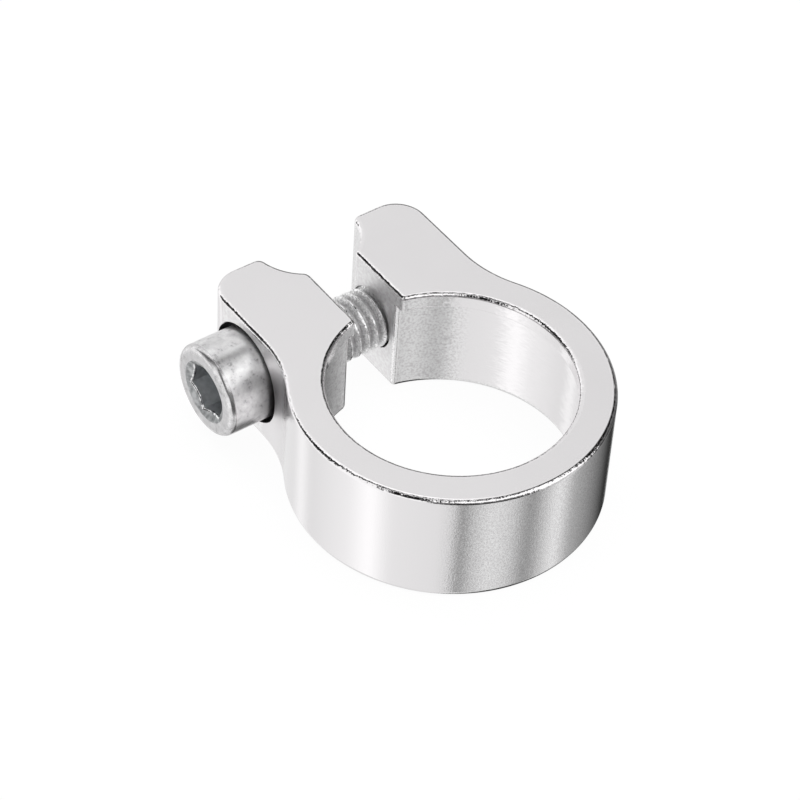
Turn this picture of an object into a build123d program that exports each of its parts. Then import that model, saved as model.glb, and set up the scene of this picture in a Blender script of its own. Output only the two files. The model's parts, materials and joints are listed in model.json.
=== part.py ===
from build123d import *
import math
import os

# Seat tube that the band grips, and the lip that stops the band on its end
SEAT_TUBE_DIAMETER = 31.8
TUBE_CLEARANCE = 0.05
LIP_REACH = 1.15
LIP_HEIGHT = 2.2

# Ring of the band
BAND_WALL = 3.3
BAND_HEIGHT = 15.8
TOP_ROUND = 0.45
LEAD_IN_CHAMFER = 0.45

# Ears, the slot between them and the round relief at the slot's outer mouth
SLOT_WIDTH = 6.85
EAR_THICKNESS = 11.25
EAR_BEYOND_BOLT = 9.0
NECK_RADIUS = 15.0
TIP_OUTER_ROUND = 4.0
TIP_INNER_ROUND = 1.2
RELIEF_RADIUS = 6.8
RELIEF_OUTSET = 0.6
MOUTH_CORNER_ROUND = 1.2
BORE_CORNER_ROUND = 0.7

# Bolt: its place behind the tube, thread, head and hexagon socket
BOLT_TUBE_GAP = 0.95
BOLT_DIAMETER = 7.8
BOLT_LENGTH = 25.0
BOLT_END_CHAMFER = 0.9
HEAD_DIAMETER = 11.8
HEAD_HEIGHT = 8.0
HEAD_RIM_ROUND = 0.8
HEAD_FOOT_CHAMFER = 0.3
HEX_SIDES = 6
HEX_ACROSS_FLATS = 6.0
HEX_DEPTH = 5.0
HEX_TURN = -19.0
HEX_MOUTH_DIAMETER = 8.05
HEX_MOUTH_SLOPE = 30.0
HEX_DRILL_SLOPE = 30.0

# Holes of the ears, with their clearances round the bolt
THREAD_CLEARANCE = 0.05
HOLE_CLEARANCE = 0.5
HEAD_CLEARANCE = 0.6
HEAD_SEAT_GAP = 0.05
COUNTERBORE_DEPTH = 2.1
COUNTERBORE_EDGE = 0.1
HOLE_MOUTH_CHAMFER = 0.2

# Sizes that follow from those above
BORE_RADIUS = SEAT_TUBE_DIAMETER / 2 + TUBE_CLEARANCE
LIP_RADIUS = BORE_RADIUS - LIP_REACH
BAND_RADIUS = BORE_RADIUS + BAND_WALL
LIP_FLOOR = BAND_HEIGHT - LIP_HEIGHT
HALF_SLOT = SLOT_WIDTH / 2
FLANK = HALF_SLOT + EAR_THICKNESS
BOLT_RADIUS = BOLT_DIAMETER / 2
BOLT_REACH = BORE_RADIUS + BOLT_TUBE_GAP + BOLT_RADIUS
EAR_REACH = BOLT_REACH + EAR_BEYOND_BOLT
RELIEF_X = -EAR_REACH - RELIEF_OUTSET
HEAD_RADIUS = HEAD_DIAMETER / 2
HEAD_SEAT = -FLANK + COUNTERBORE_DEPTH
THREAD_HOLE_RADIUS = BOLT_RADIUS + THREAD_CLEARANCE
COUNTERBORE_RADIUS = HEAD_RADIUS + HEAD_CLEARANCE

# Directions along the bolt
TO_THREAD = Vector(0, 1, 0)
TO_HEAD = Vector(0, -1, 0)


def both_sides(x, y):
    """A point of the plan and its mirror image across the slot."""
    return [(x, y), (x, -y)]


def round_corners(sketch, points, radius):
    """Rounds the corners of a sketch that lie nearest to the given points."""
    corners = [sketch.vertices().sort_by_distance(Vector(*point))[0] for point in points]
    return fillet(corners, radius)


def leg(hypotenuse, side):
    """The other short side of a right triangle."""
    return math.sqrt(hypotenuse**2 - side**2)


def ring_and_ears():
    """Outer plan: the ring, the block of both ears, their necks and their outer tips."""
    block = Pos(-EAR_REACH / 2, 0) * Rectangle(EAR_REACH, 2 * FLANK)
    plan = Circle(BAND_RADIUS) + block
    plan = round_corners(plan, both_sides(-leg(BAND_RADIUS, FLANK), FLANK), NECK_RADIUS)
    return round_corners(plan, both_sides(-EAR_REACH, FLANK), TIP_OUTER_ROUND)


def split_plan(bore_radius):
    """Plan of the split band at a level where its bore has the given radius."""
    slot = Pos(-EAR_REACH / 2, 0) * Rectangle(EAR_REACH, SLOT_WIDTH)
    relief = Pos(RELIEF_X, 0) * Circle(RELIEF_RADIUS)
    plan = ring_and_ears() - Circle(bore_radius) - slot - relief
    bore_corners = both_sides(-leg(bore_radius, HALF_SLOT), HALF_SLOT)
    mouth_corners = both_sides(RELIEF_X + leg(RELIEF_RADIUS, HALF_SLOT), HALF_SLOT)
    tip_corners = both_sides(-EAR_REACH, leg(RELIEF_RADIUS, RELIEF_OUTSET))
    plan = round_corners(plan, bore_corners, BORE_CORNER_ROUND)
    plan = round_corners(plan, mouth_corners, MOUTH_CORNER_ROUND)
    return round_corners(plan, tip_corners, TIP_INNER_ROUND)


def across(y, direction=TO_THREAD):
    """Place on the bolt's axis, at the distance y from the middle of the slot, facing along the bolt."""
    return Plane((-BOLT_REACH, y, BAND_HEIGHT / 2), x_dir=(1, 0, 0), z_dir=direction)


def from_base(radius, length):
    """A rod that stands on its own base, along +Z."""
    return Cylinder(radius, length, align=(Align.CENTER, Align.CENTER, Align.MIN))


def flare(inner, rise):
    """A 45 degree flare that widens a hole by the rise, with its wide end at the base."""
    return Cone(inner + rise, inner, rise, align=(Align.CENTER, Align.CENTER, Align.MIN))


def bolt_holes():
    """What the ears lose: the counterbore, the clearance hole and the tapped hole with its mouths."""
    pocket_length = BAND_RADIUS - COUNTERBORE_DEPTH
    pocket = across(HEAD_SEAT, TO_HEAD) * from_base(COUNTERBORE_RADIUS, pocket_length)
    pocket_edge = across(-FLANK) * flare(COUNTERBORE_RADIUS, COUNTERBORE_EDGE)
    passage = across(HEAD_SEAT) * from_base(BOLT_RADIUS + HOLE_CLEARANCE, -HEAD_SEAT)
    thread = across(0) * from_base(THREAD_HOLE_RADIUS, FLANK)
    inner_mouth = across(HALF_SLOT) * flare(THREAD_HOLE_RADIUS, HOLE_MOUTH_CHAMFER)
    outer_mouth = across(FLANK, TO_HEAD) * flare(THREAD_HOLE_RADIUS, HOLE_MOUTH_CHAMFER)
    return [pocket, pocket_edge, passage, thread, inner_mouth, outer_mouth]


def clamp_band():
    """The whole band: gripping bore with a lead-in below, lip with rounded edges above, bolt holes."""
    grip = extrude(split_plan(BORE_RADIUS), LIP_FLOOR)
    lip = Pos(0, 0, LIP_FLOOR) * extrude(split_plan(LIP_RADIUS), LIP_HEIGHT)
    band = grip + lip
    band = fillet(band.faces().sort_by(Axis.Z)[-1].edges(), TOP_ROUND)
    band = chamfer(band.faces().sort_by(Axis.Z)[0].edges(), LEAD_IN_CHAMFER)
    return band - bolt_holes()


def hex_socket():
    """Socket in the head, from the head's top face at z = 0 down, with its mouth and drill point."""
    flats = HEX_ACROSS_FLATS / 2
    hexagon = Rot(0, 0, HEX_TURN) * RegularPolygon(flats, HEX_SIDES, major_radius=False)
    socket = extrude(hexagon, HEX_DEPTH)
    mouth_radius = HEX_MOUTH_DIAMETER / 2
    mouth_depth = mouth_radius * math.tan(math.radians(HEX_MOUTH_SLOPE))
    mouth = Cone(mouth_radius, 0, mouth_depth, align=(Align.CENTER, Align.CENTER, Align.MIN))
    point_depth = flats * math.tan(math.radians(HEX_DRILL_SLOPE))
    point = Cone(flats, 0, point_depth, align=(Align.CENTER, Align.CENTER, Align.MIN))
    return [socket, mouth, Pos(0, 0, HEX_DEPTH) * point]


def clamp_bolt():
    """Socket head bolt with its thread as a plain rod over the crests, its head in the counterbore."""
    head = from_base(HEAD_RADIUS, HEAD_HEIGHT)
    rims = head.edges().filter_by(GeomType.CIRCLE).sort_by(Axis.Z)
    head = fillet(rims[0], HEAD_RIM_ROUND)
    foot = head.edges().filter_by(GeomType.CIRCLE).sort_by(Axis.Z)[-1]
    head = chamfer(foot, HEAD_FOOT_CHAMFER)
    shank = from_base(BOLT_RADIUS, BOLT_LENGTH)
    end = shank.edges().filter_by(GeomType.CIRCLE).sort_by(Axis.Z)[-1]
    shank = Pos(0, 0, HEAD_HEIGHT) * chamfer(end, BOLT_END_CHAMFER)
    bolt = head - hex_socket() + shank
    return across(HEAD_SEAT - HEAD_SEAT_GAP - HEAD_HEIGHT) * bolt


os.makedirs("parts", exist_ok=True)
export_step(clamp_band(), "parts/clamp_band.step")
export_step(clamp_bolt(), "parts/clamp_bolt.step")
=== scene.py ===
import json
import math

import bmesh
import bpy
from mathutils import Matrix, Vector


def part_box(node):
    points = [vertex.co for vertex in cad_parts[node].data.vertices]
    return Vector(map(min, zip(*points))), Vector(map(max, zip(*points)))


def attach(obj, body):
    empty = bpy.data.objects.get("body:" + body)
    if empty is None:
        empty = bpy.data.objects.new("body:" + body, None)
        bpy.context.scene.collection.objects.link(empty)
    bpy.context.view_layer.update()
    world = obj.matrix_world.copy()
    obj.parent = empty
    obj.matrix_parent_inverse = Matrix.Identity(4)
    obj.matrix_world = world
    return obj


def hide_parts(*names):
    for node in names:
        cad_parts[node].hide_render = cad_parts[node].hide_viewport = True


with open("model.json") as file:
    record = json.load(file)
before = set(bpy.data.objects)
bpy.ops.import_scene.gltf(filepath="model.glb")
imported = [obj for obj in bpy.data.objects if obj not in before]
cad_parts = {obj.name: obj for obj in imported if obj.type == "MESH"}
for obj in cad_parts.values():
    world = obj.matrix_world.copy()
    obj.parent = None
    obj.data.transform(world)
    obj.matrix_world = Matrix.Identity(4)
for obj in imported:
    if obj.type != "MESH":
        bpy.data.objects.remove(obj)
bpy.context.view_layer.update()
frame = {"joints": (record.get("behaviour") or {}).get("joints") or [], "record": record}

MM = 0.001
TAU = 2 * math.pi
QUARTER_TURN = TAU / 4
FULL_CIRCLE = 360
UP = Vector((0, 0, 1))
DOWN = -UP
ALONG_BOLT = Vector((0, 1, 0))

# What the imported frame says: the band's outline, its two bores, and the bolt's place and reach
BAND_LOW, BAND_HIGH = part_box("clamp_band")
BOLT_LOW, BOLT_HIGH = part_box("clamp_bolt")
MOUNTS = {mount["name"]: mount for mount in frame["record"]["mounts"]}
BORE_RADIUS = MOUNTS["seat_tube"]["dims"]["r_mm"] * MM
LIP_RADIUS = MOUNTS["post_passage"]["dims"]["r_mm"] * MM
BOLT_AXIS = Vector(frame["joints"][0]["pos_m"])
BAND_HEIGHT = BAND_HIGH.z
EAR_REACH = -BAND_LOW.x
HEAD_FACE = BOLT_LOW.y
BOLT_END = BOLT_HIGH.y

# Band
BAND_WALL = 3.3 * MM
LIP_HEIGHT = 2.2 * MM
TOP_ROUND = 0.45 * MM
LEAD_IN_CHAMFER = 0.45 * MM
ROLL_WIDTH = 0.2 * MM
ROLL_SLOPE = math.radians(5.5)
LEAD_IN_EDGE = 0.4 * MM
LIP_EDGE = 0.35 * MM
SMALL_ROUND_STEPS = 4
HALF_SLOT = 3.425 * MM
FLANK = 14.675 * MM
NECK_RADIUS = 15.0 * MM
TIP_OUTER_ROUND = 4.0 * MM
TIP_INNER_ROUND = 1.2 * MM
RELIEF_RADIUS = 6.8 * MM
RELIEF_OUTSET = 0.6 * MM
MOUTH_CORNER_ROUND = 1.2 * MM
BORE_CORNER_ROUND = 0.7 * MM
BAND_RADIUS = BORE_RADIUS + BAND_WALL
LIP_FLOOR = BAND_HEIGHT - LIP_HEIGHT

# Where the walls' polish starts to dull along X, and where the necks are dullest
NECK_START = -8.5 * MM
NECK_END = -12.5 * MM

# Holes in the ears, round the bolt's axis
COUNTERBORE_RADIUS = 6.5 * MM
COUNTERBORE_FLOOR = -12.575 * MM
COUNTERBORE_EDGE = 0.1 * MM
PASSAGE_RADIUS = 4.4 * MM
THREAD_HOLE_RADIUS = 3.95 * MM
HOLE_MOUTH_CHAMFER = 0.2 * MM

# Bolt
HEAD_RADIUS = 5.9 * MM
HEAD_SEAT = -12.625 * MM
HEAD_RIM_ROUND = 0.8 * MM
HEAD_FOOT_CHAMFER = 0.3 * MM
SOCKET_MOUTH_RADIUS = 4.025 * MM
SOCKET_MOUTH_SLOPE = math.radians(30)
SOCKET_DRILL_RADIUS = 2.95 * MM
SOCKET_CORNER_RADIUS = 3.464 * MM
SOCKET_DEPTH = 5.0 * MM
SOCKET_SIDES = 6
SOCKET_TURN = math.radians(19)
SOCKET_EDGE = 0.18 * MM
THREAD_CREST = 3.9 * MM
THREAD_ROOT = 3.22 * MM
THREAD_PITCH = 1.25 * MM
THREAD_CREST_FLAT = 0.17 * MM
THREAD_ROOT_FLAT = 0.29 * MM
THREAD_END_CHAMFER = 0.9 * MM
SHANK_ROOT = 0.5 * MM

# Fineness of the meshes
ARC_STEP = math.radians(1.5)
FEWEST_ARC_STEPS = 8
ROUND_STEPS = 6
LATHE_STEPS = 128
THREAD_STEPS = 64
WELD = 1e-7
THREAD_WELD = 2e-6
SHARP_ANGLE = math.radians(22)

# How far faces lean, as the share of a normal along Z or along the bolt, to tell the worked regions apart
LEVEL = 0.9999
NEARLY_LEVEL = 0.99
OVERHANGING = -0.1
ACROSS_BOLT = 0.5
SLOPE_TOLERANCE = 0.05

# The numbers of a Mix node's colour sockets, which share their names with others
MIX_SHARE, MIX_FIRST, MIX_SECOND, MIX_COLOUR = 0, 6, 7, 2

# The photograph's camera, aimed from a point over the middle of the band's top face
CAMERA_AZIMUTH = math.radians(51.6)
CAMERA_ELEVATION = math.radians(44.74)
CAMERA_ROLL = math.radians(3.8)
CAMERA_DISTANCE = 357.0 * MM
CAMERA_LEFT = 6.047 * MM
CAMERA_DROP = 2.151 * MM
SENSOR_WIDTH = 36.0
LENS = 138.87
NEAREST_SEEN = CAMERA_DISTANCE / 100

# Polished aluminium's own colour, and the sizes of the marks that the finishes show. The real nicks, grain,
# streaks, blots and specks are finer, and are drawn as coarse as they need to be to show in the render.
ALUMINIUM = "F3F1F2"
MOP_PATCH = 6.0 * MM
CHATTER_LENGTH = 1.2 * MM
CHATTER_DEPTH = 0.12 * MM
NICK_WIDTH = 0.2 * MM
NICK_DEPTH = 0.025 * MM
GRAIN_WIDTH = 0.18 * MM
GRAIN_DEPTH = 0.012 * MM
GRAIN_FROM = -12.5 * MM
GRAIN_FULL = -10.0 * MM
STREAK_LENGTH = 0.9 * MM
STREAK_WIDTH = 0.11 * MM
BLOTCH_LENGTH = 0.6 * MM
BLOTCH_WIDTH = 0.35 * MM
STREAK_TILT = 0.14
BLOT_WIDTH = 0.3 * MM
MOTTLED_FROM = -11.0 * MM
MOTTLED_FULL = -13.0 * MM
SLOT_ROUGHNESS = 0.3
MILL_LINE = 0.4 * MM
MOTTLE_WIDTH = 1.0 * MM
MOTTLE_DEPTH = 0.012 * MM
SPECK_WIDTH = 0.25 * MM
SMEAR_WIDTH = 0.8 * MM
# Where the plated head is painted darker as painted shade: near its seat in the counterbore
SHADE_PATCH_CENTRE = BOLT_AXIS + Vector((HEAD_RADIUS, HEAD_SEAT, 0))
SHADE_PATCH_REACH = 5.5 * MM
SHADE_PATCH_CORE = 2.5 * MM
TURNING_FEED = 0.35 * MM
TURNING_DEPTH = 0.004 * MM

# The studio round the clamp, in belts from the ground to the zenith. Each fades in between two heights, in
# degrees, and lists the greys of its soft boxes and dark cards by bearing from the camera. The walls mirror
# the table belt. The edges, the bore and the bolt's head mirror the belts above it, whose dark cards draw
# the black lines along the edges. The pale zenith lights the top face for a view from above.
GROUND_CARDS = [(-180, "D0"), (30, "D8"), (58, "30"), (150, "30"), (170, "D0"), (180, "D0")]
TABLE_CARDS = [
    (-180, "DC"), (-134, "D8"), (-122, "F0"), (-110, "D6"), (-70, "E6"), (-52, "FA"), (-36, "DE"),
    (-2, "D8"), (8, "CC"), (13, "82"), (20, "B8"), (34, "D8"), (48, "CC"), (64, "88"), (88, "E4"),
    (102, "A6"), (152, "28"), (162, "34"), (172, "DC"), (180, "DC"),
]
HORIZON_CARDS = [
    (-180, "90"), (-172, "D0"), (-140, "D0"), (-128, "F0"), (-12, "F0"), (-4, "18"), (50, "18"),
    (62, "C0"), (92, "C0"), (98, "40"), (128, "40"), (145, "90"), (180, "90"),
]
LOW_CARDS = [
    (-180, "60"), (-172, "60"), (-166, "D8"), (-150, "D8"), (-120, "FF"), (-112, "40"), (-78, "40"),
    (-72, "F0"), (-40, "F0"), (-34, "18"), (-18, "18"), (-12, "68"), (50, "68"), (58, "FF"), (96, "FF"),
    (101, "60"), (180, "60"),
]
BOX_CARDS = [
    (-180, "DA"), (-150, "DA"), (-120, "FF"), (-112, "0A"), (-74, "0A"), (-67, "F0"), (-46, "F0"),
    (-40, "14"), (-8, "14"), (-2, "FF"), (96, "FF"), (101, "14"), (156, "14"), (166, "DA"), (180, "DA"),
]
HIGH_CARDS = [
    (-180, "FF"), (-120, "FF"), (-112, "20"), (-72, "20"), (-64, "F0"), (-50, "F0"), (-44, "14"),
    (-8, "14"), (-2, "FF"), (128, "FF"), (136, "20"), (164, "20"), (172, "FF"), (180, "FF"),
]
CEILING_CARDS = [(-180, "14"), (180, "14")]
ZENITH_CARDS = [(-180, "E0"), (180, "E0")]
STUDIO_BELTS = [
    (None, None, GROUND_CARDS),
    (-64, -58, TABLE_CARDS),
    (-32, -26, HORIZON_CARDS),
    (0, 6, LOW_CARDS),
    (25, 31, BOX_CARDS),
    (51, 55, HIGH_CARDS),
    (66, 70, CEILING_CARDS),
    (77, 80, ZENITH_CARDS),
]
STUDIO_STRENGTH = 1.2

# Floor and lamp
FLOOR_RADIUS = 3.0
FLOOR_SHADE = 0.05
LAMP_STRENGTH = 2.0
LAMP_SPREAD = math.radians(60)


def leg(hypotenuse, side):
    """The other short side of a right triangle."""
    return math.sqrt(hypotenuse**2 - side**2)


def towards(start, end, distance):
    """The point at a distance from start on the way to end."""
    return start + (end - start).normalized() * distance


def line(bm, pen, end):
    """Draws a straight edge from the pen's vertex to a point and returns the new vertex."""
    made = bmesh.ops.extrude_vert_indiv(bm, verts=[pen])["verts"][0]
    made.co = end
    return made


def arc(bm, pen, centre, end, axis):
    """Draws an arc about a centre from the pen's vertex to a point and returns its last vertex."""
    first, last = pen.co - centre, end - centre
    sweep = math.atan2(axis.dot(first.cross(last)), first.dot(last)) % TAU
    steps = max(FEWEST_ARC_STEPS, math.ceil(sweep / ARC_STEP))
    made = bmesh.ops.spin(bm, geom=[pen], cent=centre, axis=axis, angle=sweep, steps=steps)
    return next(item for item in made["geom_last"] if isinstance(item, bmesh.types.BMVert))


def weld(bm):
    """Merges doubles and turns every face outwards."""
    bmesh.ops.remove_doubles(bm, verts=bm.verts[:], dist=WELD)
    bmesh.ops.recalc_face_normals(bm, faces=bm.faces[:])


def to_object(bm, name):
    """Makes a piece at the origin from a finished bmesh."""
    mesh = bpy.data.meshes.new(name)
    bm.to_mesh(mesh)
    bm.free()
    made = bpy.data.objects.new(name, mesh)
    bpy.context.scene.collection.objects.link(made)
    return made


def combine(piece, tool, operation):
    """Cuts a tool from a piece, or joins it on, and deletes the tool."""
    modifier = piece.modifiers.new(operation.lower(), "BOOLEAN")
    modifier.operation = operation
    modifier.object = tool
    modifier.solver = "EXACT"
    graph = bpy.context.evaluated_depsgraph_get()
    bm = bmesh.new()
    bm.from_mesh(piece.evaluated_get(graph).to_mesh())
    bmesh.ops.remove_doubles(bm, verts=bm.verts[:], dist=WELD)
    bmesh.ops.dissolve_degenerate(bm, edges=bm.edges[:], dist=WELD)
    piece.modifiers.clear()
    bm.to_mesh(piece.data)
    bm.free()
    bpy.data.objects.remove(tool)


def soften(piece):
    """Shades curved faces smooth, keeps corners sharp and lets flat faces stay flat."""
    piece.data.shade_smooth()
    piece.data.set_sharp_from_angle(angle=SHARP_ANGLE)
    modifier = piece.modifiers.new("flat faces", "WEIGHTED_NORMAL")
    modifier.keep_sharp = True


def plan_loop(bm, bore_radius, height):
    """Draws the split plan of the band as one closed loop of edges at a height."""
    known = set(bm.edges)
    ring = UP * height
    neck = Vector((-leg(BAND_RADIUS + NECK_RADIUS, FLANK + NECK_RADIUS), FLANK + NECK_RADIUS, height))
    tip = Vector((-EAR_REACH + TIP_OUTER_ROUND, FLANK - TIP_OUTER_ROUND, height))
    relief = Vector((-EAR_REACH - RELIEF_OUTSET, 0, height))
    inner_side = leg(RELIEF_RADIUS + TIP_INNER_ROUND, TIP_INNER_ROUND + RELIEF_OUTSET)
    inner_tip = Vector((-EAR_REACH + TIP_INNER_ROUND, inner_side, height))
    mouth_side = HALF_SLOT + MOUTH_CORNER_ROUND
    mouth_x = relief.x + leg(RELIEF_RADIUS + MOUTH_CORNER_ROUND, mouth_side)
    mouth = Vector((mouth_x, mouth_side, height))
    bore_side = HALF_SLOT + BORE_CORNER_ROUND
    grip_x = -leg(BORE_RADIUS + BORE_CORNER_ROUND, bore_side)
    bore_corner = Vector((-leg(bore_radius + BORE_CORNER_ROUND, bore_side), bore_side, height))

    pen = bm.verts.new(Vector((BAND_RADIUS, 0, height)))
    pen = arc(bm, pen, ring, towards(ring, neck, BAND_RADIUS), UP)
    pen = arc(bm, pen, neck, Vector((neck.x, FLANK, height)), DOWN)
    pen = line(bm, pen, Vector((tip.x, FLANK, height)))
    pen = arc(bm, pen, tip, Vector((-EAR_REACH, tip.y, height)), UP)
    pen = line(bm, pen, Vector((-EAR_REACH, inner_tip.y, height)))
    pen = arc(bm, pen, inner_tip, towards(relief, inner_tip, RELIEF_RADIUS), UP)
    pen = arc(bm, pen, relief, towards(relief, mouth, RELIEF_RADIUS), DOWN)
    pen = arc(bm, pen, mouth, Vector((mouth.x, HALF_SLOT, height)), UP)
    pen = line(bm, pen, Vector((grip_x, HALF_SLOT, height)))
    pen = line(bm, pen, Vector((bore_corner.x, HALF_SLOT, height)))
    pen = arc(bm, pen, bore_corner, towards(ring, bore_corner, bore_radius), UP)
    arc(bm, pen, ring, Vector((bore_radius, 0, height)), DOWN)

    half = [edge for edge in bm.edges if edge not in known]
    ends = list({vert for edge in half for vert in edge.verts})
    bmesh.ops.mirror(bm, geom=half + ends, matrix=Matrix.Identity(4), axis="Y", merge_dist=WELD)
    return [edge for edge in bm.edges if edge not in known]


def profile_point(radius, along):
    """A point of a turned profile, at a radius from the bolt's axis and a place along it."""
    return BOLT_AXIS + Vector((radius, along, 0))


def lathe(bm, corners, rounded=None, round_centre=None):
    """Turns a profile of (radius, place along the bolt) corners, one stretch of it round if named."""
    pen = bm.verts.new(profile_point(*corners[0]))
    for number, corner in enumerate(corners[1:]):
        if number == rounded:
            pen = arc(bm, pen, profile_point(*round_centre), profile_point(*corner), UP)
        else:
            pen = line(bm, pen, profile_point(*corner))
    profile = bm.verts[:] + bm.edges[:]
    bmesh.ops.spin(
        bm, geom=profile, cent=BOLT_AXIS, axis=ALONG_BOLT, angle=TAU, steps=LATHE_STEPS, use_merge=True
    )
    weld(bm)


def ear_holes():
    """Tool for the holes of both ears: counterbore, passage, tapped hole and their mouths."""
    bm = bmesh.new()
    wide = THREAD_HOLE_RADIUS + HOLE_MOUTH_CHAMFER
    corners = [
        (0, -BAND_RADIUS - FLANK),
        (COUNTERBORE_RADIUS, -BAND_RADIUS - FLANK),
        (COUNTERBORE_RADIUS, -FLANK),
        (COUNTERBORE_RADIUS + COUNTERBORE_EDGE, -FLANK),
        (COUNTERBORE_RADIUS, -FLANK + COUNTERBORE_EDGE),
        (COUNTERBORE_RADIUS, COUNTERBORE_FLOOR),
        (PASSAGE_RADIUS, COUNTERBORE_FLOOR),
        (PASSAGE_RADIUS, 0),
        (wide, 0),
        (wide, HALF_SLOT),
        (THREAD_HOLE_RADIUS, HALF_SLOT + HOLE_MOUTH_CHAMFER),
        (THREAD_HOLE_RADIUS, FLANK - HOLE_MOUTH_CHAMFER),
        (wide, FLANK),
        (wide, BAND_RADIUS),
        (0, BAND_RADIUS),
    ]
    lathe(bm, corners)
    return to_object(bm, "ear_holes")


def cut_back(bm, edges, offset, steps):
    """Cuts edges back by an offset: a chamfer in one step, a round in several."""
    bmesh.ops.bevel(
        bm, geom=edges, offset=offset, affect="EDGES", segments=steps, profile=0.5, material=-1
    )


def lead_in_edges(bm):
    """The edges where the lead-in chamfer runs out into the walls."""
    def at_top(vert):
        return abs(vert.co.z - LEAD_IN_CHAMFER) < WELD
    return [edge for edge in bm.edges if all(at_top(vert) for vert in edge.verts)]


def lip_edges(bm):
    """The edges round the lip's foot, where it overhangs the gripping bore."""
    def on_foot(vert):
        level = abs(vert.co.z - LIP_FLOOR) < WELD
        return level and abs(vert.co.xy.length - LIP_RADIUS) < WELD
    return [edge for edge in bm.edges if all(on_foot(vert) for vert in edge.verts)]


def rolled_edges(bm, top):
    """Lets the top face fall away at its outline, as polishing leaves it, and returns that outline."""
    width = TOP_ROUND + ROLL_WIDTH
    bmesh.ops.inset_region(bm, faces=[top], thickness=width, use_even_offset=True)
    level = set(top.verts)
    outline = [vert for vert in bm.verts if abs(vert.co.z - BAND_HEIGHT) < WELD and vert not in level]
    bmesh.ops.translate(bm, verts=outline, vec=DOWN * width * math.tan(ROLL_SLOPE))
    known = set(outline)
    return [edge for edge in bm.edges if all(vert in known for vert in edge.verts)]


def clamp_band():
    """The split band: wall loops bridged from the lead-in to the lip, rounded edges, then its holes."""
    bm = bmesh.new()
    levels = [
        (BORE_RADIUS, 0),
        (BORE_RADIUS, LIP_FLOOR),
        (LIP_RADIUS, LIP_FLOOR),
        (LIP_RADIUS, BAND_HEIGHT),
    ]
    loops = [plan_loop(bm, radius, height) for radius, height in levels]
    bmesh.ops.bridge_loops(bm, edges=loops[0] + loops[1])
    bmesh.ops.bridge_loops(bm, edges=loops[2] + loops[3])
    bmesh.ops.contextual_create(bm, geom=loops[0])
    bmesh.ops.contextual_create(bm, geom=loops[3])
    weld(bm)
    ledge = [edge for edge in bm.edges if edge.is_boundary]
    bmesh.ops.contextual_create(bm, geom=ledge)
    weld(bm)
    flats = sorted(bm.faces, key=lambda face: face.calc_center_median().z)
    cut_back(bm, flats[0].edges[:], LEAD_IN_CHAMFER, 1)
    cut_back(bm, lead_in_edges(bm), LEAD_IN_EDGE, SMALL_ROUND_STEPS)
    cut_back(bm, lip_edges(bm), LIP_EDGE, SMALL_ROUND_STEPS)
    cut_back(bm, rolled_edges(bm, flats[-1]), TOP_ROUND, ROUND_STEPS)
    piece = to_object(bm, "band")
    combine(piece, ear_holes(), "DIFFERENCE")
    return piece


def socket_head():
    """The bolt's head, turned with its rounded rim, conical mouth and drill point, then broached."""
    bm = bmesh.new()
    rim = HEAD_RADIUS - HEAD_RIM_ROUND
    mouth_floor = HEAD_FACE + (SOCKET_MOUTH_RADIUS - SOCKET_DRILL_RADIUS) * math.tan(SOCKET_MOUTH_SLOPE)
    drill_floor = HEAD_FACE + SOCKET_DEPTH
    drill_point = drill_floor + SOCKET_DRILL_RADIUS * math.tan(SOCKET_MOUTH_SLOPE)
    corners = [
        (0, drill_point),
        (SOCKET_DRILL_RADIUS, drill_floor),
        (SOCKET_DRILL_RADIUS, mouth_floor),
        (SOCKET_MOUTH_RADIUS, HEAD_FACE),
        (rim, HEAD_FACE),
        (HEAD_RADIUS, HEAD_FACE + HEAD_RIM_ROUND),
        (HEAD_RADIUS, HEAD_SEAT - HEAD_FOOT_CHAMFER),
        (HEAD_RADIUS - HEAD_FOOT_CHAMFER, HEAD_SEAT),
        (0, HEAD_SEAT),
    ]
    lathe(bm, corners, rounded=4, round_centre=(rim, HEAD_FACE + HEAD_RIM_ROUND))
    head = to_object(bm, "bolt")
    combine(head, hexagon_broach(), "DIFFERENCE")
    rub_socket_edge(head)
    return head


def rub_socket_edge(head):
    """Rounds the scalloped edge where the hexagon runs out through the mouth cone, as a key rubs it."""
    bm = bmesh.new()
    bm.from_mesh(head.data)
    slopes = (0, math.cos(SOCKET_MOUTH_SLOPE))
    edges = []
    for edge in bm.edges:
        out = edge.verts[0].co - BOLT_AXIS
        out.y = 0
        facing = sorted(-face.normal.y for face in edge.link_faces)
        close = [abs(way - slope) < SLOPE_TOLERANCE for way, slope in zip(facing, slopes)]
        meets = len(facing) == 2 and all(close)
        if meets and out.length < SOCKET_MOUTH_RADIUS - WELD:
            edges.append(edge)
    cut_back(bm, edges, SOCKET_EDGE, SMALL_ROUND_STEPS)
    bm.to_mesh(head.data)
    bm.free()


def hexagon_broach():
    """Tool for the hexagon socket."""
    bm = bmesh.new()
    depth = 2 * SOCKET_DEPTH
    place = Matrix.Translation(BOLT_AXIS + ALONG_BOLT * HEAD_FACE)
    along = Matrix.Rotation(-QUARTER_TURN, 4, "X")
    turn = Matrix.Rotation(-SOCKET_TURN - QUARTER_TURN, 4, "Y") @ along
    bmesh.ops.create_cone(
        bm,
        cap_ends=True,
        segments=SOCKET_SIDES,
        radius1=SOCKET_CORNER_RADIUS,
        radius2=SOCKET_CORNER_RADIUS,
        depth=depth,
        matrix=place @ turn,
    )
    weld(bm)
    return to_object(bm, "hexagon_broach")


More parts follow.
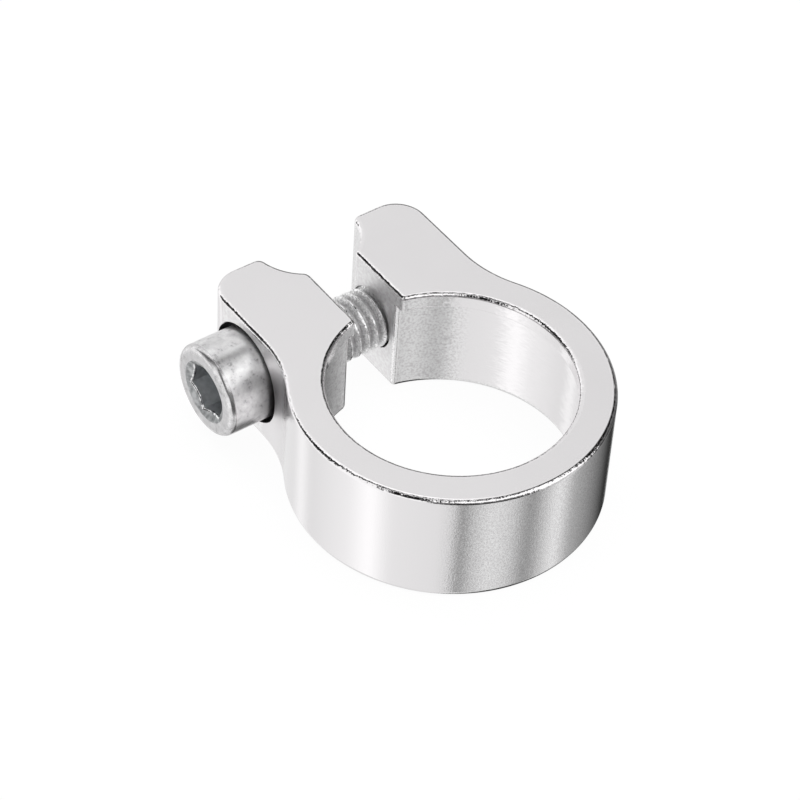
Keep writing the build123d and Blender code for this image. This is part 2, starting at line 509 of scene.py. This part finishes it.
def threaded_shank():
    """The bolt's thread as one helical ridge, cut flat at both ends and chamfered at the far one."""
    bm = bmesh.new()
    start = HEAD_SEAT - 2 * THREAD_PITCH
    rise = (THREAD_PITCH - THREAD_ROOT_FLAT - THREAD_CREST_FLAT) / 2
    ridge = [
        (THREAD_ROOT, 0),
        (THREAD_ROOT, THREAD_ROOT_FLAT),
        (THREAD_CREST, THREAD_ROOT_FLAT + rise),
        (THREAD_CREST, THREAD_PITCH - rise),
        (THREAD_ROOT, THREAD_PITCH),
    ]
    pen = None
    for radius, along in ridge:
        place = profile_point(radius, start + along)
        pen = line(bm, pen, place) if pen else bm.verts.new(place)
    turns = math.ceil((BOLT_END - start) / THREAD_PITCH) + 1
    bmesh.ops.spin(
        bm,
        geom=bm.verts[:] + bm.edges[:],
        cent=BOLT_AXIS,
        axis=ALONG_BOLT,
        dvec=ALONG_BOLT * (THREAD_PITCH / THREAD_STEPS),
        angle=TAU * turns,
        steps=THREAD_STEPS * turns,
    )
    bmesh.ops.remove_doubles(bm, verts=bm.verts[:], dist=THREAD_WELD)
    for along, direction in ((HEAD_SEAT - SHANK_ROOT, -ALONG_BOLT), (BOLT_END, ALONG_BOLT)):
        whole = bm.verts[:] + bm.edges[:] + bm.faces[:]
        bmesh.ops.bisect_plane(
            bm, geom=whole, dist=WELD, plane_co=ALONG_BOLT * along, plane_no=direction, clear_outer=True
        )
    end_radius = THREAD_CREST - THREAD_END_CHAMFER
    for vert in bm.verts:
        out = vert.co - BOLT_AXIS
        out.y = 0
        most = end_radius + BOLT_END - vert.co.y
        if out.length > most:
            vert.co += out * (most / out.length - 1)
    bmesh.ops.holes_fill(bm, edges=[edge for edge in bm.edges if edge.is_boundary], sides=0)
    weld(bm)
    return to_object(bm, "threaded_shank")


def clamp_bolt():
    """The socket head bolt: head and thread joined into one piece."""
    piece = socket_head()
    combine(piece, threaded_shank(), "UNION")
    return piece


def linear(colour):
    """Turns an sRGB hex colour into linear RGBA."""
    levels = []
    for start in (0, 2, 4):
        share = int(colour[start:start + 2], 16) / 255
        levels.append(share / 12.92 if share <= 0.04045 else ((share + 0.055) / 1.055) ** 2.4)
    return levels + [1]


def node(tree, kind, inputs, stops=None, **settings):
    """Adds a node with its settings, sets or links its inputs and gives a ramp its stops."""
    made = tree.nodes.new("ShaderNode" + kind)
    for name, value in settings.items():
        setattr(made, name, value)
    for socket, value in inputs.items():
        if isinstance(value, bpy.types.NodeSocket):
            tree.links.new(value, made.inputs[socket])
        else:
            made.inputs[socket].default_value = value
    if stops:
        elements = made.color_ramp.elements
        while len(elements) < len(stops):
            elements.new(1)
        for element, (place, colour) in zip(elements, stops):
            element.position = place
            element.color = linear(colour)
    return made


def new_tree(owner):
    """Gives a material or the world an empty node tree."""
    owner.use_nodes = True
    owner.node_tree.nodes.clear()
    return owner.node_tree


def surface(tree, inputs):
    """Ends a tree with a shader of the given inputs."""
    shader = node(tree, "BsdfPrincipled", inputs)
    node(tree, "OutputMaterial", {"Surface": shader.outputs["BSDF"]})


def new_finish(name):
    """Starts a material and returns it with its tree and the place of each point on the piece."""
    material = bpy.data.materials.new(name)
    tree = new_tree(material)
    return material, tree, node(tree, "TexCoord", {}).outputs["Object"]


def polished_aluminium(name, bright, dull):
    """Polished flats and their roll-off: an even pale grey, but for faint patches left by the mop."""
    material, tree, place = new_finish(name)
    mop = node(tree, "TexNoise", {"Vector": place, "Scale": 1 / MOP_PATCH, "Detail": 3.0})
    rough = node(tree, "MapRange", {"Value": mop.outputs["Fac"], "To Min": bright, "To Max": dull})
    finish = {"Base Color": linear(ALUMINIUM), "Metallic": 1.0, "Roughness": rough.outputs["Result"]}
    surface(tree, finish)
    return material


def buffed_edge():
    """Buffed edge rounds: near mirror, so they draw thin black and white lines, frayed by small nicks."""
    material, tree, place = new_finish("buffed aluminium edge")
    chatter = node(tree, "TexNoise", {"Vector": place, "Scale": 1 / CHATTER_LENGTH, "Detail": 2.0})
    wave = node(tree, "Bump", {"Height": chatter.outputs["Fac"], "Distance": CHATTER_DEPTH})
    nicks = node(tree, "TexNoise", {"Vector": place, "Scale": 1 / NICK_WIDTH, "Detail": 1.0})
    nicked = {"Height": nicks.outputs["Fac"], "Distance": NICK_DEPTH, "Normal": wave.outputs["Normal"]}
    bump = node(tree, "Bump", nicked)
    finish = {"Base Color": linear(ALUMINIUM), "Metallic": 1.0, "Roughness": 0.07}
    surface(tree, finish | {"Normal": bump.outputs["Normal"]})
    return material


def satin_aluminium(name, roughness, neck_roughness):
    """Satin walls and corners: soft upright bands of light, with a grain that shows in the dark ones."""
    material, tree, place = new_finish(name)
    noise = {"Vector": place, "Scale": 1 / GRAIN_WIDTH, "Detail": 2.0}
    grain = node(tree, "TexNoise", noise).outputs["Fac"]
    parts = node(tree, "SeparateXYZ", {"Vector": place}).outputs
    grained = {"Value": parts["Y"], "From Min": GRAIN_FROM, "From Max": GRAIN_FULL}
    coarse = node(tree, "MapRange", grained)
    necks = {"Value": parts["X"], "From Min": NECK_START, "From Max": NECK_END}
    rough = node(tree, "MapRange", necks | {"To Min": roughness, "To Max": neck_roughness})
    specks = node(tree, "ValToRGB", {"Fac": grain}, stops=[(0.3, "D8D6D7"), (0.7, "FFFFFF")])
    blend = {
        MIX_SHARE: coarse.outputs["Result"],
        MIX_FIRST: linear(ALUMINIUM),
        MIX_SECOND: specks.outputs["Color"],
    }
    tone = node(tree, "Mix", blend, data_type="RGBA").outputs[MIX_COLOUR]
    bump = node(tree, "Bump", {"Height": grain, "Distance": GRAIN_DEPTH})
    finish = {"Base Color": tone, "Metallic": 1.0, "Roughness": rough.outputs["Result"]}
    surface(tree, finish | {"Normal": bump.outputs["Normal"]})
    return material


def milled_aluminium():
    """Milled ear faces: flatter and whiter than the walls, with faint cutter marks under the polish."""
    material, tree, place = new_finish("milled aluminium")
    lines = node(tree, "TexNoise", {"Vector": place, "Scale": 1 / MILL_LINE, "Detail": 3.0}).outputs["Fac"]
    tone = node(tree, "ValToRGB", {"Fac": lines}, stops=[(0.35, "F0EEEF"), (0.65, "FFFFFF")])
    rough = node(tree, "MapRange", {"Value": lines, "To Min": 0.36, "To Max": 0.46})
    finish = {"Base Color": tone.outputs["Color"], "Metallic": 1.0, "Roughness": rough.outputs["Result"]}
    surface(tree, finish)
    return material


def turned_bore(name, roughness, length, width):
    """Turned bore and lip: streaks or blotches round the bore lean their own ways, so light bands fray."""
    material, tree, place = new_finish(name)
    squeezed = node(tree, "Mapping", {"Vector": place, "Scale": (1 / length, 1 / length, 1 / width)})
    streaks = node(tree, "TexNoise", {"Vector": squeezed.outputs["Vector"], "Scale": 1.0, "Detail": 2.0})
    swing = {"Value": streaks.outputs["Fac"], "To Min": -STREAK_TILT, "To Max": STREAK_TILT}
    lean = node(tree, "MapRange", swing)
    side = node(tree, "SeparateXYZ", {"Vector": place}).outputs["X"]
    mottled = {"Value": side, "From Min": MOTTLED_FROM, "From Max": MOTTLED_FULL}
    slot_end = node(tree, "MapRange", mottled).outputs["Result"]
    rough = node(tree, "MapRange", {"Value": slot_end, "To Min": roughness, "To Max": SLOT_ROUGHNESS})
    blots = node(tree, "TexNoise", {"Vector": place, "Scale": 1 / BLOT_WIDTH, "Detail": 4.0}).outputs["Fac"]
    spots = node(tree, "ValToRGB", {"Fac": blots}, stops=[(0.34, "E2E0E1"), (0.58, "FFFFFF")])
    blend = {MIX_SHARE: slot_end, MIX_FIRST: linear(ALUMINIUM), MIX_SECOND: spots.outputs["Color"]}
    tone = node(tree, "Mix", blend, data_type="RGBA").outputs[MIX_COLOUR]
    normal = node(tree, "NewGeometry", {}).outputs["Normal"]
    around = node(tree, "VectorMath", {0: normal, 1: UP}, operation="CROSS_PRODUCT")
    leant = {0: around.outputs[0], "Scale": lean.outputs["Result"]}
    tilt = node(tree, "VectorMath", leant, operation="SCALE")
    tilted = node(tree, "VectorMath", {0: normal, 1: tilt.outputs[0]}, operation="ADD")
    unit = node(tree, "VectorMath", {0: tilted.outputs[0]}, operation="NORMALIZE")
    finish = {"Base Color": tone, "Metallic": 1.0, "Roughness": rough.outputs["Result"]}
    surface(tree, finish | {"Normal": unit.outputs[0]})
    return material


def shaded_bored_holes():
    """Bored bolt holes: duller than the outside, since no polish reaches into them, and painted darker as
    painted shade.
    """
    material, tree, place = new_finish("bored aluminium hole in painted shade")
    grain = node(tree, "TexNoise", {"Vector": place, "Scale": 1 / GRAIN_WIDTH, "Detail": 2.0})
    rough = node(tree, "MapRange", {"Value": grain.outputs["Fac"], "To Min": 0.3, "To Max": 0.45})
    # The dark grey is painted shade for the insides of the holes
    finish = {"Base Color": linear("6A6A6C"), "Metallic": 1.0, "Roughness": rough.outputs["Result"]}
    surface(tree, finish)
    return material


def from_bolt_axis(tree, place):
    """The distance of a point from the bolt's axis."""
    centred = node(tree, "Mapping", {"Vector": place, "Location": (-BOLT_AXIS.x, 0, -BOLT_AXIS.z)})
    flat = node(tree, "VectorMath", {0: centred.outputs["Vector"], 1: (1, 0, 1)}, operation="MULTIPLY")
    return node(tree, "VectorMath", {0: flat.outputs[0]}, operation="LENGTH").outputs["Value"]


def zinc_plated_steel(name, dull, bright, satin, glossy):
    """Zinc plated head, rim and face: greyer than the band, clouded, specked and faintly ringed by turning,
    and painted darker near the seat as painted shade.

    The clear film over the zinc scatters a little light, so it isn't wholly metallic.
    """
    material, tree, place = new_finish(name)
    clouds = {"Vector": place, "Scale": 1 / MOTTLE_WIDTH, "Detail": 6.0, "Roughness": 0.72}
    mottle = node(tree, "TexNoise", clouds).outputs["Fac"]
    plating = [(0.30, "9C9B9C"), (0.42, dull), (0.70, bright)]
    clean = node(tree, "ValToRGB", {"Fac": mottle}, stops=plating).outputs["Color"]
    # Painted shade: the plating is mixed towards dark grey near the seat, where the counterbore shades the
    # head
    away = node(tree, "VectorMath", {0: place, 1: SHADE_PATCH_CENTRE}, operation="DISTANCE").outputs["Value"]
    painted_shade = node(tree, "MapRange", {"Value": away, "From Min": SHADE_PATCH_REACH, "From Max": SHADE_PATCH_CORE})
    blend = {MIX_SHARE: painted_shade.outputs["Result"], MIX_FIRST: clean, MIX_SECOND: linear("706F70")}
    tone = node(tree, "Mix", blend, data_type="RGBA").outputs[MIX_COLOUR]
    rough = node(tree, "MapRange", {"Value": mottle, "To Min": satin, "To Max": glossy})
    feed = {0: from_bolt_axis(tree, place), 1: TAU / TURNING_FEED}
    rings = node(tree, "Math", feed, operation="MULTIPLY")
    ridge = node(tree, "Math", {0: rings.outputs[0]}, operation="SINE")
    turned = node(tree, "Bump", {"Height": ridge.outputs[0], "Distance": TURNING_DEPTH})
    pitted = {"Height": mottle, "Distance": MOTTLE_DEPTH, "Normal": turned.outputs["Normal"]}
    bump = node(tree, "Bump", pitted)
    finish = {"Base Color": tone, "Metallic": 0.9, "Roughness": rough.outputs["Result"]}
    surface(tree, finish | {"Normal": bump.outputs["Normal"]})
    return material


def plated_thread():
    """Plated thread: grey flanks painted darker towards the roots as painted shade, and crests lighter,
    partly a painted highlight and partly plating rubbed bright in places by the mating thread.
    """
    material, tree, place = new_finish("zinc plated thread")
    out = from_bolt_axis(tree, place)
    ridge = node(tree, "MapRange", {"Value": out, "From Min": THREAD_ROOT, "From Max": THREAD_CREST})
    noise = {"Vector": place, "Scale": 1 / SPECK_WIDTH, "Detail": 3.0}
    specks = node(tree, "TexNoise", noise).outputs["Fac"]
    patchy = {"Value": specks, "From Min": 0.3, "From Max": 0.7, "To Min": -0.6, "To Max": 0.5}
    fleck = node(tree, "MapRange", patchy)
    raised = {0: ridge.outputs["Result"], 1: fleck.outputs["Result"]}
    level = node(tree, "Math", raised, operation="ADD").outputs[0]
    # Painted shade and highlight: the grey darkens down the flanks to the roots and lightens up to the
    # crests
    tone = node(tree, "ValToRGB", {"Fac": level}, stops=[(0.0, "D0CFD0"), (0.8, "FFFFFF")])
    rubbed = {"Value": level, "From Min": 0.75, "From Max": 0.9, "To Min": 0.6, "To Max": 0.2}
    rough = node(tree, "MapRange", rubbed)
    bump = node(tree, "Bump", {"Height": specks, "Distance": MOTTLE_DEPTH})
    finish = {"Base Color": tone.outputs["Color"], "Metallic": 1.0, "Roughness": rough.outputs["Result"]}
    surface(tree, finish | {"Normal": bump.outputs["Normal"]})
    return material


def rubbed_steel():
    """Socket edge: plating rubbed through to bright steel by the hexagon key, so it glints in places."""
    material, tree, place = new_finish("rubbed steel edge")
    nicks = node(tree, "TexNoise", {"Vector": place, "Scale": 1 / NICK_WIDTH, "Detail": 1.0})
    bump = node(tree, "Bump", {"Height": nicks.outputs["Fac"], "Distance": NICK_DEPTH})
    wear = node(tree, "TexNoise", {"Vector": place, "Scale": 1 / SMEAR_WIDTH, "Detail": 2.0}).outputs["Fac"]
    tone = node(tree, "ValToRGB", {"Fac": wear}, stops=[(0.4, "86878A"), (0.54, "FAFAFA")])
    finish = {"Base Color": tone.outputs["Color"], "Metallic": 1.0, "Roughness": 0.15}
    surface(tree, finish | {"Normal": bump.outputs["Normal"]})
    return material


def broached_socket(name, dull, bright):
    """Broached socket and its mouth: cool grey steel, hardly plated and dull, so the walls stay dim. The
    mouth's darker greys are painted shade.
    """
    material, tree, place = new_finish(name)
    noise = {"Vector": place, "Scale": 1 / SMEAR_WIDTH, "Detail": 4.0}
    smears = node(tree, "TexNoise", noise).outputs["Fac"]
    tone = node(tree, "ValToRGB", {"Fac": smears}, stops=[(0.35, dull), (0.65, bright)])
    rough = node(tree, "MapRange", {"Value": smears, "To Min": 0.45, "To Max": 0.65})
    finish = {"Base Color": tone.outputs["Color"], "Metallic": 1.0, "Roughness": rough.outputs["Result"]}
    surface(tree, finish)
    return material


def add_finishes(piece, finishes):
    """Adds finishes to a piece and returns the number of each."""
    for finish in finishes:
        piece.data.materials.append(finish)
    return range(len(finishes))


def finish_band(piece):
    """Gives each region of the band the finish that it was worked to."""
    finishes = [
        polished_aluminium("polished aluminium", 0.22, 0.28),
        polished_aluminium("bright polished aluminium", 0.08, 0.14),
        buffed_edge(),
        satin_aluminium("satin aluminium", 0.1, 0.36),
        satin_aluminium("bright satin aluminium", 0.1, 0.1),
        milled_aluminium(),
        turned_bore("turned aluminium bore", 0.14, STREAK_LENGTH, STREAK_WIDTH),
        turned_bore("turned aluminium lip", 0.14, BLOTCH_LENGTH, BLOTCH_WIDTH),
        shaded_bored_holes(),
    ]
    flat, rolled, rounds, wall, corner, milled, bore, lip, holes = add_finishes(piece, finishes)
    hole_reach = COUNTERBORE_RADIUS + COUNTERBORE_EDGE + WELD
    for face in piece.data.polygons:
        centre, normal = face.center, face.normal
        from_bolt = centre - BOLT_AXIS
        from_bolt.y = 0
        out = Vector((centre.x, centre.y, 0))
        hole_wall = abs(normal.y) < ACROSS_BOLT and from_bolt.dot(normal) < 0
        hole_floor = abs(centre.y - COUNTERBORE_FLOOR) < WELD
        lip_foot = out.length < BORE_RADIUS - WELD and normal.z < OVERHANGING
        ear_face = min(abs(abs(centre.y) - FLANK), abs(abs(centre.y) - HALF_SLOT)) < WELD
        if from_bolt.length < hole_reach and (hole_wall or hole_floor):
            face.material_index = holes
        elif abs(normal.z) > LEVEL:
            face.material_index = flat
        elif normal.z > NEARLY_LEVEL:
            face.material_index = rolled
        elif centre.z > BAND_HEIGHT - TOP_ROUND or lip_foot:
            face.material_index = rounds
        elif out.length < BORE_RADIUS + WELD and out.dot(normal) < 0:
            face.material_index = lip if centre.z > LIP_FLOOR else bore
        elif ear_face:
            face.material_index = milled
        elif centre.x > NECK_START or abs(centre.y) > FLANK:
            face.material_index = wall
        else:
            face.material_index = corner


def finish_bolt(piece):
    """Gives the bolt's head, thread and socket their own finishes."""
    finishes = [
        zinc_plated_steel("zinc plated steel", "E4E3E4", "FFFFFF", 0.40, 0.25),
        # The rim and face take the head's plating painted darker, as painted shade
        zinc_plated_steel("zinc plated steel rim in painted shade", "D2D1D2", "F0EFF0", 0.30, 0.18),
        zinc_plated_steel("zinc plated steel face in painted shade", "CCCBCC", "E4E3E4", 0.48, 0.32),
        plated_thread(),
        broached_socket("broached steel socket", "C4C6C8", "DADCDE"),
        # The mouth cone's darker greys are painted shade
        broached_socket("steel socket mouth in painted shade", "868889", "D2D3D4"),
        rubbed_steel(),
    ]
    head, rim, end, thread, socket, mouth, rubbed = add_finishes(piece, finishes)
    for face in piece.data.polygons:
        along, lean = face.center.y, -face.normal.y
        from_bolt = face.center - BOLT_AXIS
        from_bolt.y = 0
        within = HEAD_FACE + WELD < along < HEAD_SEAT - WELD
        inside = within and from_bolt.length < SOCKET_MOUTH_RADIUS
        broached = abs(lean) < SLOPE_TOLERANCE or along > HEAD_FACE + SOCKET_DEPTH / 2
        coned = abs(lean - math.cos(SOCKET_MOUTH_SLOPE)) < SLOPE_TOLERANCE
        if along > HEAD_SEAT + WELD:
            face.material_index = thread
        elif inside and broached:
            face.material_index = socket
        elif inside and coned:
            face.material_index = mouth
        elif inside:
            face.material_index = rubbed
        elif along < HEAD_FACE + WELD:
            face.material_index = end
        elif along < HEAD_FACE + HEAD_RIM_ROUND:
            face.material_index = rim
        else:
            face.material_index = head


def studio_world():
    """White behind the clamp for the camera, and the soft boxes and dark cards that its metal mirrors.

    Glossy rays see the cards, because plain white in the mirror would lose the black lines along the edges.
    """
    world = bpy.data.worlds.new("studio")
    bpy.context.scene.world = world
    tree = new_tree(world)
    way = node(tree, "TexCoord", {}).outputs["Generated"]
    turned = node(tree, "Mapping", {"Vector": way, "Rotation": (0, 0, QUARTER_TURN - CAMERA_AZIMUTH)})
    parts = node(tree, "SeparateXYZ", {"Vector": turned.outputs["Vector"]}).outputs
    bearing = node(tree, "Math", {0: parts["Y"], 1: parts["X"]}, operation="ARCTAN2")
    circle = {"Value": bearing.outputs[0], "From Min": -math.pi, "From Max": math.pi}
    share = node(tree, "MapRange", circle).outputs["Result"]
    height = node(tree, "Math", {0: parts["Z"]}, operation="ARCSINE").outputs[0]
    colour = None
    for low, high, cards in STUDIO_BELTS:
        stops = [(0.5 + place / FULL_CIRCLE, grey * 3) for place, grey in cards]
        belt = node(tree, "ValToRGB", {"Fac": share}, stops=stops).outputs["Color"]
        if colour is None:
            colour = belt
            continue
        rise = {"Value": height, "From Min": math.radians(low), "From Max": math.radians(high)}
        fade = node(tree, "MapRange", rise, interpolation_type="SMOOTHSTEP")
        blend = {MIX_SHARE: fade.outputs["Result"], MIX_FIRST: colour, MIX_SECOND: belt}
        colour = node(tree, "Mix", blend, data_type="RGBA").outputs[MIX_COLOUR]
    studio = node(tree, "Background", {"Color": colour, "Strength": STUDIO_STRENGTH})
    white = node(tree, "Background", {"Color": linear("FFFFFF"), "Strength": 1.0})
    seen = node(tree, "LightPath", {}).outputs["Is Camera Ray"]
    shown = node(tree, "MixShader", {0: seen, 1: studio.outputs[0], 2: white.outputs[0]})
    node(tree, "OutputWorld", {"Surface": shown.outputs[0]})


def pale_floor():
    """A white sweep under the clamp that keeps a faint soft shadow and stays out of the metal's mirror."""
    bm = bmesh.new()
    bmesh.ops.create_circle(bm, cap_ends=True, segments=LATHE_STEPS, radius=FLOOR_RADIUS)
    floor = to_object(bm, "floor")
    material = bpy.data.materials.new("white paper sweep")
    tree = new_tree(material)
    paper = node(tree, "BsdfDiffuse", {"Color": linear("FFFFFF")})
    glow = node(tree, "Emission", {"Color": linear("FFFFFF"), "Strength": 1.0})
    mixed = node(tree, "MixShader", {0: FLOOR_SHADE, 1: glow.outputs[0], 2: paper.outputs[0]})
    node(tree, "OutputMaterial", {"Surface": mixed.outputs[0]})
    floor.data.materials.append(material)
    floor.visible_glossy = False


def soft_lamp():
    """A broad overhead lamp whose light the floor takes for the clamp's soft shadow."""
    lamp = bpy.data.lights.new("overhead lamp", "SUN")
    lamp.energy = LAMP_STRENGTH
    lamp.angle = LAMP_SPREAD
    holder = bpy.data.objects.new("overhead lamp", lamp)
    holder.visible_glossy = False
    bpy.context.scene.collection.objects.link(holder)


def photo_camera():
    """The camera that took the photograph, found from the outlines of the band and the bolt."""
    east, north = math.sin(CAMERA_AZIMUTH), math.cos(CAMERA_AZIMUTH)
    back = Vector((east, -north, math.tan(CAMERA_ELEVATION))).normalized()
    level = Vector((north, east, 0))
    right = Matrix.Rotation(CAMERA_ROLL, 3, back) @ level
    up = back.cross(right)
    place = UP * BAND_HEIGHT + back * CAMERA_DISTANCE - right * CAMERA_LEFT - up * CAMERA_DROP
    camera = bpy.data.objects.new("camera", bpy.data.cameras.new("camera"))
    camera.data.sensor_width = SENSOR_WIDTH
    camera.data.lens = LENS
    camera.data.clip_start = NEAREST_SEEN
    turn = Matrix((right, up, back)).transposed().to_4x4()
    camera.matrix_world = Matrix.Translation(place) @ turn
    bpy.context.scene.collection.objects.link(camera)
    bpy.context.scene.camera = camera


band = clamp_band()
finish_band(band)
soften(band)
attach(band, "band")
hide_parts("clamp_band")

bolt = clamp_bolt()
finish_bolt(bolt)
soften(bolt)
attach(bolt, "bolt")
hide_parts("clamp_bolt")

studio_world()
pale_floor()
soft_lamp()
photo_camera()
bpy.context.scene.view_settings.view_transform = "Standard"
